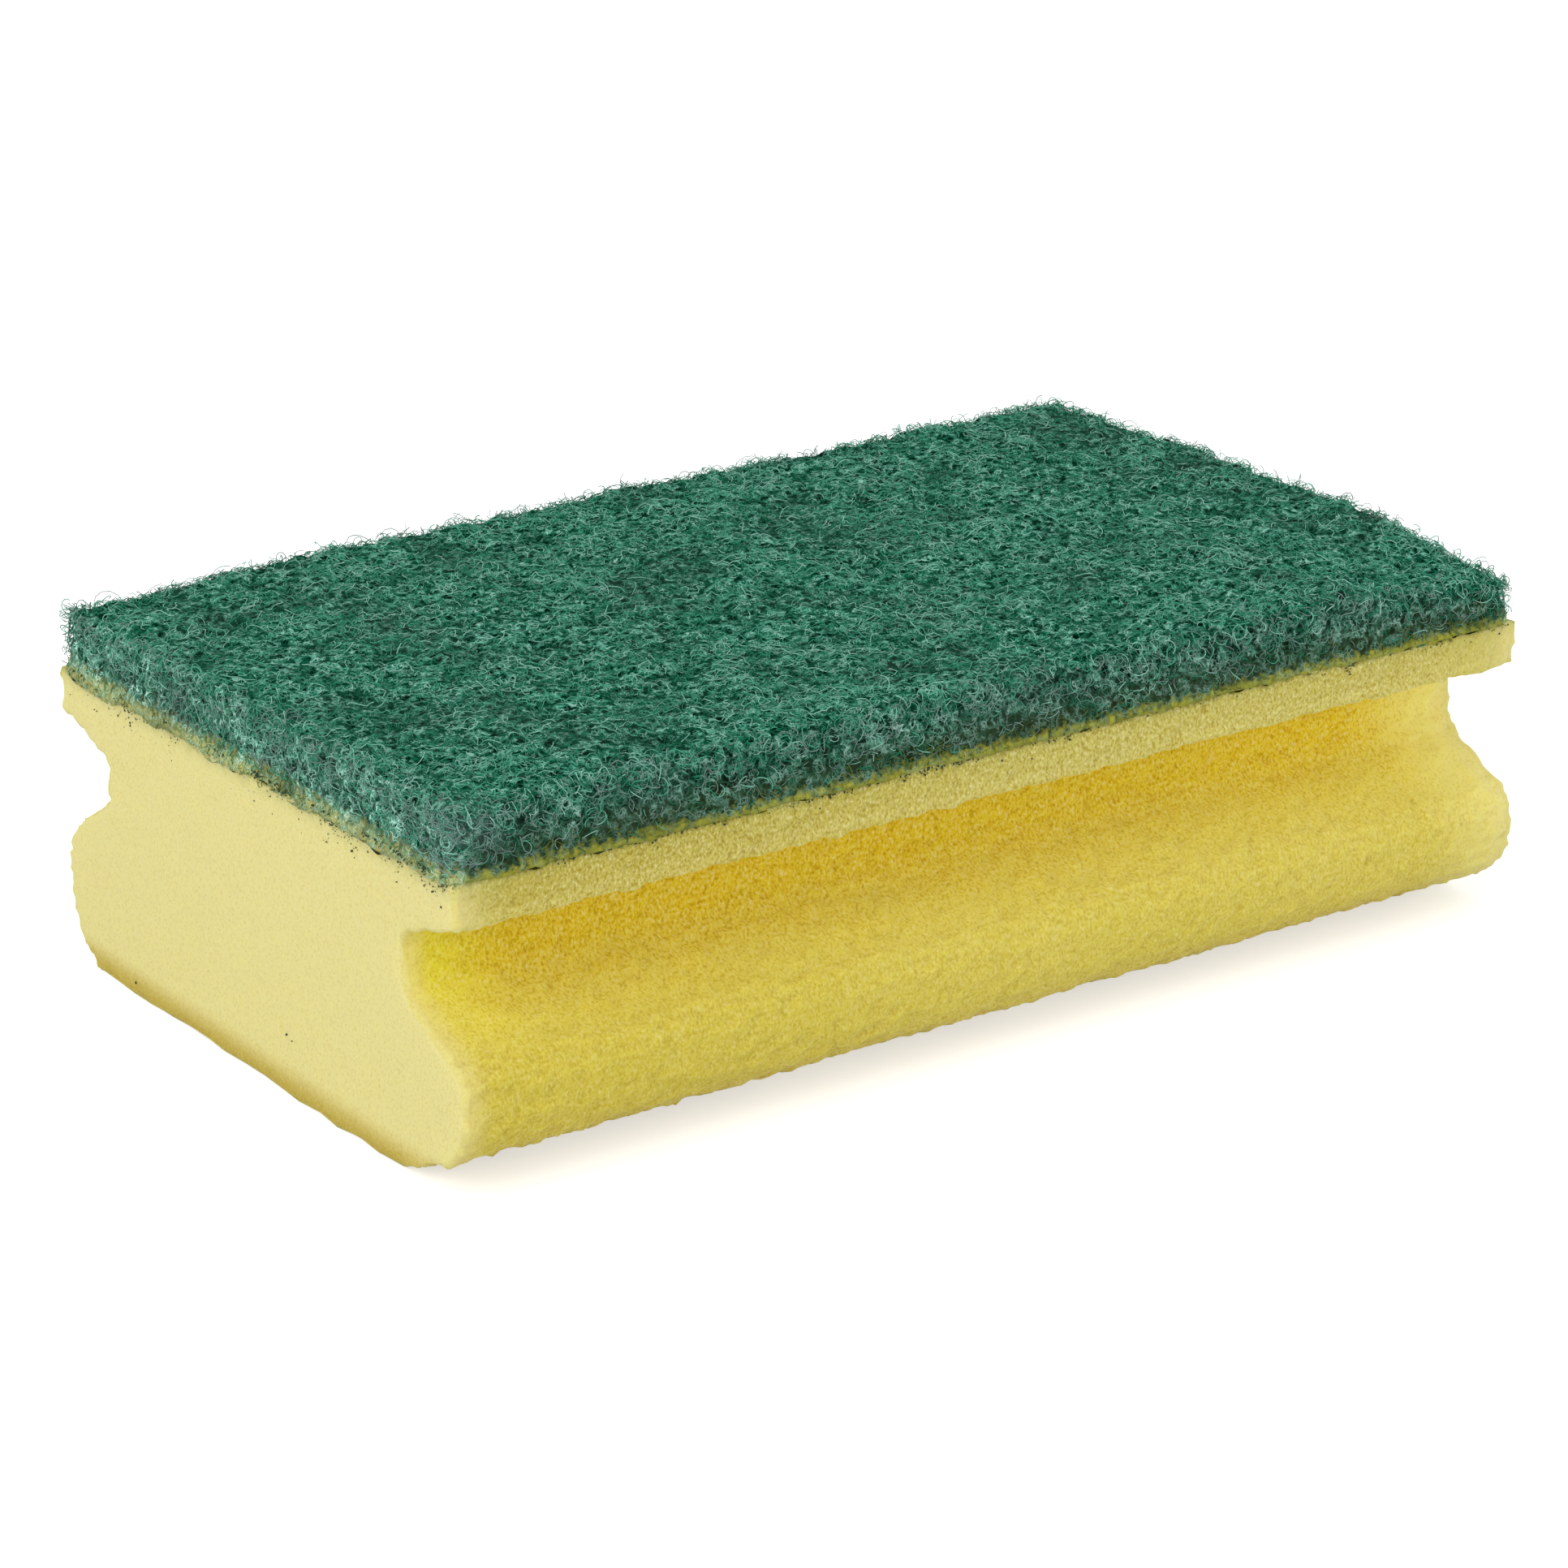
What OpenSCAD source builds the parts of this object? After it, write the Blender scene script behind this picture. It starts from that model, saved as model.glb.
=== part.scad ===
// Grip sponge: a block of yellow polyurethane foam, contour cut with a finger
// groove down each long side, and a green non-woven scouring pad bonded to its top.
// Millimetres. X runs along the sponge, Y across it and Z up. The origin is at the
// middle of the underside, on the surface that the sponge stands on.

/* [Block] */
// Length of the sponge, from cut end to cut end
block_length = 150; // [90:1:220]
// Width across the rim that carries the pad
block_width = 90; // [70:1:130]
// Height of the foam, from the underside to the bond with the pad
foam_height = 37; // [35:0.5:60]
// How far the belly stands out past the rim on each long side
belly_overhang = 0.8; // [0:0.1:3]

/* [Finger grooves] */
// Height of the rim's outer face, above the groove
rim_height = 5.2; // [3:0.1:7]
// Angle at which the underside of the rim falls on its way in
rim_slope = 17; // [0:1:20]
// Depth of the groove, from the rim's outer face
groove_depth = 11.3; // [9:0.1:16]
// Radius between the underside of the rim and the groove's wall
roof_radius = 2; // [0.5:0.1:4]
// Angle at which the shoulder below the groove falls on its way out
shoulder_slope = 28; // [15:1:35]
// Angle at which the knife's cut round the belly meets the underside
foot_slope = 20; // [10:1:30]

/* [Front side] */
// Straight wall at the back of the front groove
front_wall = 2.9; // [0.5:0.1:5]
// Radius between that wall and the shoulder
front_floor_radius = 4.5; // [2:0.1:5]
// Radius at which the shoulder rolls over into the belly
front_shoulder_radius = 4; // [2:0.1:6]
// Radius at which the belly turns under
front_belly_radius = 8; // [3:0.1:10]
// How far in from the rim the cut meets the underside
front_foot = 13.5; // [9:0.1:18]

/* [Back side] */
// Straight wall at the back of the back groove
back_wall = 2.6; // [0.5:0.1:5]
// Radius between that wall and the shoulder
back_floor_radius = 2; // [1:0.1:5]
// Radius at which the shoulder rolls over into the belly
back_shoulder_radius = 8; // [3:0.1:10]
// Radius at which the belly turns under
back_belly_radius = 10; // [3:0.1:11]
// How far in from the rim the cut meets the underside
back_foot = 6.2; // [5:0.1:12]

/* [Scouring pad] */
// Greatest thickness of the pad
pad_thickness = 8.6; // [5:0.1:15]
// Radius of the pad's corners in plan
pad_corner_radius = 2.5; // [2:0.5:15]
// Radius to which the pad's top edge is crushed by the cut
pad_edge_radius = 1.5; // [1:0.1:3]
// How far the soft waves in the pad's face dip below its highest points
pad_waves = 0.5; // [0:0.1:1.5]
// How far the tufts between the waves dip
pad_tufts = 0.6; // [0:0.1:1.5]
// How far the cut edge of the pad wanders in from the foam's outline
pad_fray = 0.9; // [0:0.1:1.5]
// Share of its thickness that the pad has lost at its front right corner
front_right_press = 0.32; // [0:0.01:0.5]
// Share of its thickness that the pad has lost at its back left corner
back_left_press = 0.1; // [0:0.01:0.5]
// Distance from the corner at which a press has died away
press_reach = 30; // [10:1:60]
// Spacing of the points on the pad's face
pad_grid = 2; // [1.8:0.1:6]

/* [Colours] */
foam_colour = "#E3D269";
pad_colour = "#2F7C62";

/* [Hidden] */

// Smoothness of the foam's round edges
$fn = 96;
// A cutter passes the face that it cuts by this much
past = 1;
// An arc is drawn this much larger than its fillet, so that it crosses the straight
// lines on both sides of it
lap = 0.001;

// One long side's outline is drawn in [in, up]: how far in from the rim's outer face,
// and how high above the underside. The rim and the groove's roof are the same on both.
belly_in = -belly_overhang;
rim_foot = [0, foam_height - rim_height];

function rim_underside(in) = rim_foot.y - in * tan(rim_slope);

roof_centre = [
    groove_depth - roof_radius,
    rim_underside(groove_depth - roof_radius) - roof_radius / cos(rim_slope)
];
roof_start = roof_centre + roof_radius * [sin(rim_slope), cos(rim_slope)];
roof_end = roof_centre + [roof_radius, 0];

// The foam that the contour knife takes off one long side, above the belly.
module groove_waste(wall, floor_radius, shoulder_radius) {
    floor_centre = [groove_depth - floor_radius, roof_centre.y - wall];
    floor_start = floor_centre + [floor_radius, 0];
    floor_end = floor_centre + floor_radius * [sin(shoulder_slope), -cos(shoulder_slope)];
    crest_height = floor_end.y - (floor_end.x - belly_in) * tan(shoulder_slope);
    shoulder_centre = [
        belly_in + shoulder_radius,
        crest_height - shoulder_radius * tan((90 - shoulder_slope) / 2)
    ];
    shoulder_start = shoulder_centre + shoulder_radius * [-sin(shoulder_slope), cos(shoulder_slope)];
    shoulder_end = shoulder_centre - [shoulder_radius, 0];
    difference() {
        polygon([
            [0, foam_height + past],
            rim_foot,
            roof_start,
            roof_end,
            floor_start,
            floor_end,
            shoulder_start,
            shoulder_centre,
            shoulder_end,
            [belly_in - past, shoulder_end.y],
            [belly_in - past, foam_height + past]
        ]);
        translate(shoulder_centre) circle(shoulder_radius + lap);
    }
    translate(roof_centre) circle(roof_radius + lap);
    translate(floor_centre) circle(floor_radius + lap);
}

// The foam that it takes off below the belly, where the cut runs out into the underside.
module foot_waste(belly_radius, foot) {
    heel_height = (foot - belly_in) * tan(foot_slope);
    belly_centre = [
        belly_in + belly_radius,
        heel_height + belly_radius * tan((90 - foot_slope) / 2)
    ];
    belly_start = belly_centre - [belly_radius, 0];
    belly_end = belly_centre - belly_radius * [sin(foot_slope), cos(foot_slope)];
    difference() {
        polygon([
            [belly_in - past, belly_start.y],
            belly_start,
            belly_centre,
            belly_end,
            [foot + past / tan(foot_slope), -past],
            [belly_in - past, -past]
        ]);
        translate(belly_centre) circle(belly_radius + lap);
    }
}

// The sponge's cross-section, the same all along its length, with the front on the left.
module foam_section() {
    belly_width = block_width + 2 * belly_overhang;
    difference() {
        translate([-belly_width / 2, 0]) square([belly_width, foam_height]);
        translate([-block_width / 2, 0]) {
            groove_waste(front_wall, front_floor_radius, front_shoulder_radius);
            foot_waste(front_belly_radius, front_foot);
        }
        mirror([1, 0])
            translate([-block_width / 2, 0]) {
                groove_waste(back_wall, back_floor_radius, back_shoulder_radius);
                foot_waste(back_belly_radius, back_foot);
            }
    }
}

module foam_block() {
    color(foam_colour)
        rotate([90, 0, 90])
            linear_extrude(block_length, center = true) foam_section();
}

// The pad's face is a grid of points that stands closer together over the crushed
// edge, where the surface turns.
edge_steps = 4;

// How far in from the cut edge each line of the grid lies, from one edge to the
// other: steps of equal turn round the edge radius, then an even spacing.
function grid_lines(span) =
    let (
        inner = span - 2 * pad_edge_radius,
        count = max(2, round(inner / pad_grid)),
        turned = [for (i = [0:edge_steps - 1]) pad_edge_radius * (1 - cos(90 * i / edge_steps))]
    )
    concat(
        turned,
        [for (i = [0:count]) pad_edge_radius + inner * i / count],
        [for (i = [edge_steps - 1:-1:0]) span - turned[i]]
    );

lines_x = grid_lines(block_length);
lines_y = grid_lines(block_width);
last_x = len(lines_x) - 1;
last_y = len(lines_y) - 1;

// Distance from the nearer end of a span.
function from_edge(at, span) = min(at, span - at);

// Height of the quarter round at this distance from the cut edge, below the face.
function edge_drop(in) =
    in >= pad_edge_radius ? 0
    : pad_edge_radius - sqrt(pow(pad_edge_radius, 2) - pow(pad_edge_radius - in, 2));

// Smooth hills between 0 and 1, some 40 mm apart. No two of the waves repeat together.
function waves(x, y) =
    (2 + sin(8.3 * x + 40 * sin(3.1 * y)) + sin(11.7 * y + 60 * sin(4.3 * x))) / 4;

// Small tufts between 0 and 1, some 6 mm apart, drawn out along the web.
function tufts(x, y) =
    (3
        + sin(47 * x + 110 * sin(19 * y))
        + sin(71 * y + 90 * sin(23 * x + 50))
        + sin(39 * (x + y) + 80 * sin(31 * y - 17 * x))
    ) / 6;

// How far in the cut edge lies at this angle of the wander, between 0 and 1.
function wander(along) = (2 + sin(31 * along) + sin(83 * along + 70 * sin(13 * along))) / 4;

// A square corner of the grid pressed into a quarter disc: out_x and out_y are the
// distances outside the corner's centre, as shares of its radius.
function pressed(out_x, out_y) =
    [out_x * sqrt(1 - pow(out_y, 2) / 2), out_y * sqrt(1 - pow(out_x, 2) / 2)];

// The plan position of a grid point, with round corners and a wandering edge.
function plan_point(i, j) =
    let (
        x = lines_x[i] - block_length / 2,
        y = lines_y[j] - block_width / 2,
        corner_x = block_length / 2 - pad_corner_radius,
        corner_y = block_width / 2 - pad_corner_radius,
        out = [abs(x) - corner_x, abs(y) - corner_y] / pad_corner_radius,
        round_xy = out.x > 0 && out.y > 0 ? pressed(out.x, out.y) : out,
        flat = [corner_x, corner_y] + pad_corner_radius * round_xy,
        near_x = 1 - min(1, from_edge(lines_x[i], block_length) / pad_corner_radius),
        near_y = 1 - min(1, from_edge(lines_y[j], block_width) / pad_corner_radius),
        frayed = flat - pad_fray * [near_x * wander(y + 7), near_y * wander(x)]
    )
    [sign(x) * frayed.x, sign(y) * frayed.y];

// How much of a corner's press is felt at this distance from it, between 0 and 1.
function felt(distance) = (1 + cos(180 * min(1, distance / press_reach))) / 2;

// The share of its thickness that the pad has lost here.
function pressed_share(x, y) =
    front_right_press * felt(norm([block_length - x, y]))
    + back_left_press * felt(norm([x, block_width - y]));

// The height of the pad's face at a grid point.
function face_height(i, j) =
    let (
        x = lines_x[i],
        y = lines_y[j],
        in = min(from_edge(x, block_length), from_edge(y, block_width)),
        loft = pad_thickness - edge_drop(in) - pad_waves * waves(x, y) - pad_tufts * tufts(x, y)
    )
    foam_height + loft * (1 - pressed_share(x, y));

// The pad's outline, once round the edge of the grid.
outline = concat(
    [for (i = [0:last_x - 1]) [i, 0]],
    [for (j = [0:last_y - 1]) [last_x, j]],
    [for (i = [last_x:-1:1]) [i, last_y]],
    [for (j = [last_y:-1:1]) [0, j]]
);

module scouring_pad() {
    face_points = [
        for (j = [0:last_y], i = [0:last_x]) [each plan_point(i, j), face_height(i, j)]
    ];
    bond_points = [for (ij = outline) [each plan_point(ij.x, ij.y), foam_height]];
    on_face = function(i, j) j * (last_x + 1) + i;
    on_bond = function(k) len(face_points) + k % len(outline);
    on_rim = function(k) let (ij = outline[k % len(outline)]) on_face(ij.x, ij.y);
    face_triangles = [
        for (j = [0:last_y - 1], i = [0:last_x - 1])
            each [
                [on_face(i, j), on_face(i, j + 1), on_face(i + 1, j + 1)],
                [on_face(i, j), on_face(i + 1, j + 1), on_face(i + 1, j)]
            ]
    ];
    edge_triangles = [
        for (k = [0:len(outline) - 1])
            each [
                [on_rim(k), on_rim(k + 1), on_bond(k + 1)],
                [on_rim(k), on_bond(k + 1), on_bond(k)]
            ]
    ];
    bond_face = [for (k = [0:len(outline) - 1]) on_bond(k)];
    color(pad_colour)
        polyhedron(concat(face_points, bond_points), concat(face_triangles, edge_triangles, [bond_face]));
}

foam_block();
scouring_pad();
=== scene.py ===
import math

import bmesh
import bpy
import numpy as np
from mathutils import Matrix, Vector, noise
from mathutils.bvhtree import BVHTree


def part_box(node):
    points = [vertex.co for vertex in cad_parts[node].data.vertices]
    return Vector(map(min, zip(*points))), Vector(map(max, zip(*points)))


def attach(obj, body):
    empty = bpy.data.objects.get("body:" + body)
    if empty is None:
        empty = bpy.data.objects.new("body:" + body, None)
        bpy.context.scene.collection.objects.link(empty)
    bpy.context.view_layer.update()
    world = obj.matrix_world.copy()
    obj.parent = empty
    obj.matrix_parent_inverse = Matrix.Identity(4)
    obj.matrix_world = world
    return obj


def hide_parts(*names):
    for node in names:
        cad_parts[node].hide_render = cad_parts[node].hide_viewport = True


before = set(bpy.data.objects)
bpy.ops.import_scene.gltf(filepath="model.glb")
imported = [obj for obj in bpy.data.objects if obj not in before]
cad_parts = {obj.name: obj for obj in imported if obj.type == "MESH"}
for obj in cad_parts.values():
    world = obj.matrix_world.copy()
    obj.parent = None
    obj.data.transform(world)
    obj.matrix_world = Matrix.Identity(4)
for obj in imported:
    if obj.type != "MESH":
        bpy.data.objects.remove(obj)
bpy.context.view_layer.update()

# ------------------------------------------------------------------ foam block
# The body is one block of open-cell polyether-urethane foam. A contour knife cuts
# the wave of each long side in one pass, and a saw cuts the block off at both ends.
MM = 0.001
foam_low, foam_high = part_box("foam_block")
pad_low, pad_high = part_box("scouring_pad")
half_length = foam_high.x
half_rim = pad_high.y
row_step = 1.1 * MM         # spacing of the rows round the section, where it is seen
flat_step = 5 * MM          # and on the underside and under the bond
length_step = 0.85 * MM     # spacing of the points along the block
end_grid = 1.5 * MM         # and on its two ends
end_radius = 0.5 * MM       # to which handling has rounded the saw-cut edges
cut_waves = ((17, 0.20), (5, 0.10))         # length and height of the cut's waves, in mm
cell_waves = ((1.7, 0.42), (0.9, 0.34))     # and of what its torn cells add
sawn_share = 0.3            # share of the cells' unevenness that the saw leaves


def cut_section(node):
    """The outline of the foam's section, taken off the CAD solid at its middle."""
    section = bmesh.new()
    section.from_mesh(node.data)
    bmesh.ops.remove_doubles(section, verts=section.verts, dist=1e-6)
    everything = [*section.verts, *section.edges, *section.faces]
    bmesh.ops.bisect_plane(section, geom=everything, plane_co=(0, 0, 0),
                           plane_no=(1, 0, 0), clear_inner=True, clear_outer=True)
    return section


def divide_outline(section):
    """Splits the outline into short rows, and into wider ones where it lies flat."""
    by_cuts = {}
    for edge in section.edges:
        a, b = (vert.co for vert in edge.verts)
        flat = abs(a.z - b.z) < 1e-6 and (a.z < MM or a.z > foam_high.z - MM)
        cuts = math.ceil(edge.calc_length() / (flat_step if flat else row_step)) - 1
        by_cuts.setdefault(cuts, []).append(edge)
    for cuts, edges in by_cuts.items():
        if cuts > 0:
            bmesh.ops.subdivide_edges(section, edges=edges, cuts=cuts)


def extrude_block(section):
    """Draws the outline out to the block's length, closes it and softens its ends."""
    start = foam_low.x - section.verts[:][0].co.x
    bmesh.ops.translate(section, verts=section.verts, vec=(start, 0, 0))
    bmesh.ops.spin(section, geom=[*section.verts, *section.edges], cent=(0, 0, 0),
                   axis=(1, 0, 0), dvec=(2 * half_length, 0, 0), angle=0, steps=1,
                   use_duplicate=False)
    open_ends = [edge for edge in section.edges if edge.is_boundary]
    bmesh.ops.holes_fill(section, edges=open_ends, sides=0)
    bmesh.ops.recalc_face_normals(section, faces=section.faces)
    bmesh.ops.bevel(section, geom=open_ends, offset=end_radius, segments=3,
                    profile=0.5, affect="EDGES", material=-1)
    long_edges = [edge for edge in section.edges if edge.calc_length() > half_length]
    bmesh.ops.subdivide_edges(section, edges=long_edges, use_grid_fill=True,
                              cuts=round(2 * half_length / length_step))


def grid_ends(block):
    """Cuts the two end faces into a grid, so that they can take a soft unevenness."""
    for axis, low, high in ((Vector((0, 1, 0)), foam_low.y, foam_high.y),
                            (Vector((0, 0, 1)), foam_low.z, foam_high.z)):
        for at in np.arange(low + end_grid, high - end_grid / 2, end_grid):
            ends = [face for face in block.faces
                    if all(abs(vert.co.x) > half_length - 1e-6 for vert in face.verts)]
            touched = {edge for face in ends for edge in face.edges}
            corners = {vert for face in ends for vert in face.verts}
            bmesh.ops.bisect_plane(block, geom=[*corners, *touched, *ends],
                                   plane_co=axis * at, plane_no=axis)


def weather_foam(block):
    """Moves every point a little along its normal: waves of the cut, then single cells.
    The points of the rounded edges are marked, for the painted light that the material
    lays on them."""
    block.normal_update()
    edge = block.verts.layers.float.new("edge")
    moves = []
    for vert in block.verts:
        vert[edge] = float(0.1 < abs(vert.normal.x) < 0.98)
        at = vert.co / MM
        on_flat = abs(vert.normal.z) > 0.99 and (at.z < 0.01 or at.z > foam_high.z / MM - 0.01)
        on_end = abs(vert.normal.x) > 0.95
        wave = sum(height * noise.noise(at / length) for length, height in cut_waves)
        cells = sum(height * noise.noise(at / length) for length, height in cell_waves)
        lift = 0 if on_flat else wave + (sawn_share if on_end else 1.0) * cells
        moves.append(vert.normal * lift * MM)
    for vert, move in zip(block.verts, moves):
        at_bond = vert.co.z > foam_high.z - 0.01 * MM
        vert.co += move
        vert.co.z = foam_high.z if at_bond else max(vert.co.z, 0)


def finished_piece(name, mesh_data, material):
    """A piece of the object, with smooth faces, that rides with the CAD's one body."""
    if isinstance(mesh_data, bmesh.types.BMesh):
        data = bpy.data.meshes.new(name)
        mesh_data.to_mesh(data)
        mesh_data.free()
    else:
        data = mesh_data
        data.name = name
    data.shade_smooth()
    data.materials.clear()
    data.materials.append(material)
    piece = bpy.data.objects.new(name, data)
    bpy.context.scene.collection.objects.link(piece)
    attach(piece, "root")
    return piece


def linear(hex_colour):
    """A linear colour from its sRGB hex value."""
    parts = [int(hex_colour[i:i + 2], 16) / 255 for i in (1, 3, 5)]
    return (*[c / 12.92 if c <= 0.04045 else ((c + 0.055) / 1.055) ** 2.4 for c in parts], 1)


def add_node(tree, kind, inputs=None, **settings):
    """Adds a node. inputs gives a socket a value, or the output that feeds it."""
    node = tree.nodes.new(kind)
    for name, value in settings.items():
        setattr(node, name, value)
    for socket, value in (inputs or {}).items():
        if isinstance(value, bpy.types.NodeSocket):
            tree.links.new(value, node.inputs[socket])
        else:
            node.inputs[socket].default_value = value
    return node


def add_masks(tree, field, rows, interpolation):
    """Adds masks to the fields that a material is worked out from. Each is 0 where its
    source is at the first value, 1 where it is at the second, times all that follow."""
    for name, source, none, full, *times in rows:
        mask = add_node(tree, "ShaderNodeMapRange",
                        {"Value": field[source], "From Min": min(none, full),
                         "From Max": max(none, full), "To Min": float(none > full),
                         "To Max": float(none < full)},
                        interpolation_type=interpolation).outputs["Result"]
        for other in times:
            mask = add_node(tree, "ShaderNodeMath", {0: mask, 1: field.get(other, other)},
                            operation="MULTIPLY").outputs[0]
        field[name] = mask


def lay_washes(tree, field, colours, washes):
    """Lays tones over the colours, one after another: over which colour, what tone, by
    which mask and by how much at most. A tone is a hex value or another of the colours."""
    for under, tone, mask, most in washes:
        amount = add_node(tree, "ShaderNodeMath", {0: field[mask], 1: most},
                          operation="MULTIPLY").outputs[0]
        over = linear(tone) if tone.startswith("#") else colours[tone]
        colours[under] = add_node(tree, "ShaderNodeMix",
                                  {"Factor": amount, "A": colours[under], "B": over},
                                  data_type="RGBA").outputs["Result"]


# Knife-cut ether foam: matt and softly translucent, so that light spreads some
# millimetres inside it. Where the side is cut deep the yellow is painted gold: painted
# light, for the light that the deep cut traps. Towards an end or an edge, where light
# comes in from two sides, painted light makes it pale.
def foam_material():
    material = bpy.data.materials.new("polyurethane_foam_cut")
    material.use_nodes = True
    tree = material.node_tree
    shader = tree.nodes["Principled BSDF"]
    place = add_node(tree, "ShaderNodeTexCoord").outputs["Object"]
    xyz = add_node(tree, "ShaderNodeSeparateXYZ", {0: place}).outputs
    edge = add_node(tree, "ShaderNodeAttribute", attribute_name="edge").outputs["Fac"]
    field = {"x": xyz["X"], "z": xyz["Z"], "edge": edge}
    for name, axis in (("out_x", "X"), ("out_y", "Y")):
        field[name] = add_node(tree, "ShaderNodeMath", {0: xyz[axis]},
                               operation="ABSOLUTE").outputs[0]

    # Noises between 0 and 1: about how many millimetres their patches are across, how
    # much detail they have, where they are taken from, and how they are scaled round the
    # section. A cell is a dark patch with the light wall beside it, about 0.3 mm in all,
    # which is near its real size. The knife has drawn the cells out, and the saw hasn't.
    noises = (("side_patches", 5, 2, 0, 1), ("gold_patches", 4, 2, 3, 1), ("end_patches", 12, 2, 7, 1),
              ("gold_sway", 2.5, 2, 9, 1), ("fuzz_sway", 2.2, 2, 31, 1),
              ("shadow_patches", 1.2, 2, 5, 1), ("stain_patches", 0.7, 2, 21, 1),
              ("fuzz_dots", 0.2, 2, 37, 1), ("dust_dots", 0.13, 2, 13, 1),
              ("dust_patches", 1.6, 2, 17, 1),
              ("knife_cells", 0.15, 3, 0, 0.7), ("saw_cells", 0.17, 3, 0, 1))
    for name, size, detail, shift, drawn in noises:
        laid = add_node(tree, "ShaderNodeMapping",
                        {"Vector": place, "Scale": (1, drawn, drawn),
                         "Location": (shift, shift, shift)}).outputs[0]
        field[name] = add_node(tree, "ShaderNodeTexNoise",
                               {"Vector": laid, "Scale": 1 / (2 * size * MM), "Detail": detail,
                                "Roughness": 0.55}).outputs["Fac"]

    # Two heights that wander along the block: where the gold begins and the fuzz ends.
    for name, sway, most in (("gold_level", "gold_sway", 3 * MM), ("fuzz_level", "fuzz_sway", 1.2 * MM)):
        moved = add_node(tree, "ShaderNodeMapRange",
                         {"Value": field[sway], "To Min": -most, "To Max": most}).outputs["Result"]
        field[name] = add_node(tree, "ShaderNodeMath", {0: field["z"], 1: moved},
                               operation="ADD").outputs[0]

    bond = foam_high.z
    add_masks(tree, field, (
        ("at_end", "out_x", half_length - 0.9 * MM, half_length - 0.3 * MM),
        ("at_corner", "out_x", half_length - 4 * MM, half_length - 0.5 * MM),
        ("rim_end", "out_x", half_length - 7 * MM, half_length - 1 * MM),
        ("inner", "out_x", half_length, half_length - 16 * MM),
        ("near_left", "x", -half_length + 14 * MM, -half_length + 3 * MM),
        ("rightward", "x", -half_length + 12 * MM, 15 * MM),
        ("leftward", "rightward", 1, 0),
        ("right_half", "x", 20 * MM, 62 * MM),
        ("near_right", "x", half_length - 20 * MM, half_length - 5 * MM),
        ("last_right", "x", half_length - 16 * MM, half_length - 1 * MM),
        ("cut_deep", "out_y", half_rim + 0.5 * MM, half_rim - 4.5 * MM),
        ("groove", "gold_level", 15.5 * MM, 22 * MM, "cut_deep"),
        ("outermost", "out_y", half_rim - 1.2 * MM, half_rim - 0.5 * MM),
        ("on_rim", "z", 30.9 * MM, 31.9 * MM, "outermost"),
        ("right_of_side", "on_rim", 1.3, 0, "last_right"),
        ("rim_low", "z", 34 * MM, 32.2 * MM),
        ("below_roof", "z", 23 * MM, 19 * MM),
        ("hollow", "z", 14.5 * MM, 18 * MM, "below_roof"),
        ("foot", "z", 8 * MM, 1 * MM),
        ("low_band", "z", 4.4 * MM, 0.6 * MM),
        ("shadow", "z", bond - 2.6 * MM, bond + 0.4 * MM, "shadow_patches"),
        ("stained", "stain_patches", 0.25, 1),
        ("stain_by_side", "at_end", -0.7, 1),
        ("stain", "z", bond - 2.6 * MM, bond + 0.8 * MM, "stained", "stain_by_side"),
        ("fuzzy", "fuzz_dots", 0.42, 0.56),
        ("fuzz_by_side", "at_end", -0.6, 1.2),
        ("fuzz", "fuzz_level", bond - 0.7 * MM, bond + 0.1 * MM, "fuzzy", "fuzz_by_side"),
        ("dotted", "dust_dots", 0.50, 0.66),
        ("dusty", "dust_patches", 0.40, 0.62),
        ("dust_by_side", "at_end", -1, 1.4),
        ("dust", "z", bond - 1.3 * MM, bond, "dotted", "dusty", "dust_by_side")), "SMOOTHSTEP")

    # Base colours. The gold is painted light, the rim's darker tone is painted shade, the ends' paler
    # tone is partly painted light, and the olive at the bond is painted shade.
    colours = {"foam": linear("#DACA50"), "rim": linear("#C6B95A"), "gold": linear("#E7C71C"),
               "end": linear("#EEE498"), "stain": linear("#A2AC60")}
    lay_washes(tree, field, colours, (
        ("foam", "#DFCF66", "side_patches", 1),
        ("foam", "#D6C54C", "leftward", 0.7),
        ("foam", "#E2C677", "foot", 0.6),
        # Painted shade: the rim is painted darker and greener than the side, for the shade under the
        # pad's overhang. The painted shade is lighter to the right and low on the rim, and pales towards
        # the ends.
        ("rim", "#CEC369", "rightward", 1),
        ("rim", "#E4DA84", "rim_low", 0.35),
        ("rim", "#E0D78C", "rim_end", 0.5),
        ("foam", "rim", "on_rim", 1),
        # Painted light: the gold stands in for the light that the groove traps, and it is painted paler
        # near the ends and on the right, where light comes through.
        ("gold", "#E6CF3A", "gold_patches", 1),
        ("gold", "#E9DC40", "near_left", 1),
        ("gold", "#F3D630", "right_half", 0.5),
        ("gold", "#F6E466", "near_right", 1),
        ("foam", "gold", "groove", 1),
        # Painted light: the floor of the groove is painted paler, against the shade that gathers in it.
        ("foam", "#F6E96C", "hollow", 0.4),
        # Painted light: the far right of the side and the corners beside the ends are painted pale, for
        # light that comes through the thin ends.
        ("foam", "#F8EE9A", "right_of_side", 0.6),
        ("foam", "#E8DD98", "at_corner", 0.6),
        # The saw-cut ends are paler: partly their own tone, partly painted light for the key lamp that
        # faces them.
        ("end", "#F2E69C", "end_patches", 1),
        # Painted shade: a darker band along the foot of the ends, where they meet the table.
        ("end", "#CBB352", "low_band", 1),
        ("foam", "end", "at_end", 1),
        # Painted light: the rounded edges are painted a greyish pale tone, for the light that they catch
        # and pass on.
        ("foam", "#D9CB78", "edge", 0.45),
        ("foam", "#A0962E", "shadow", 0.4),
        # Painted shade: an olive tint towards the bond, for the shade and the green light that the pad
        # casts into the foam.
        ("stain", "#A4B26E", "at_end", 1),
        ("foam", "stain", "stain", 1),
        ("foam", "#6C8A58", "fuzz", 1),
        ("foam", "#3A4F26", "dust", 1)))

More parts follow.
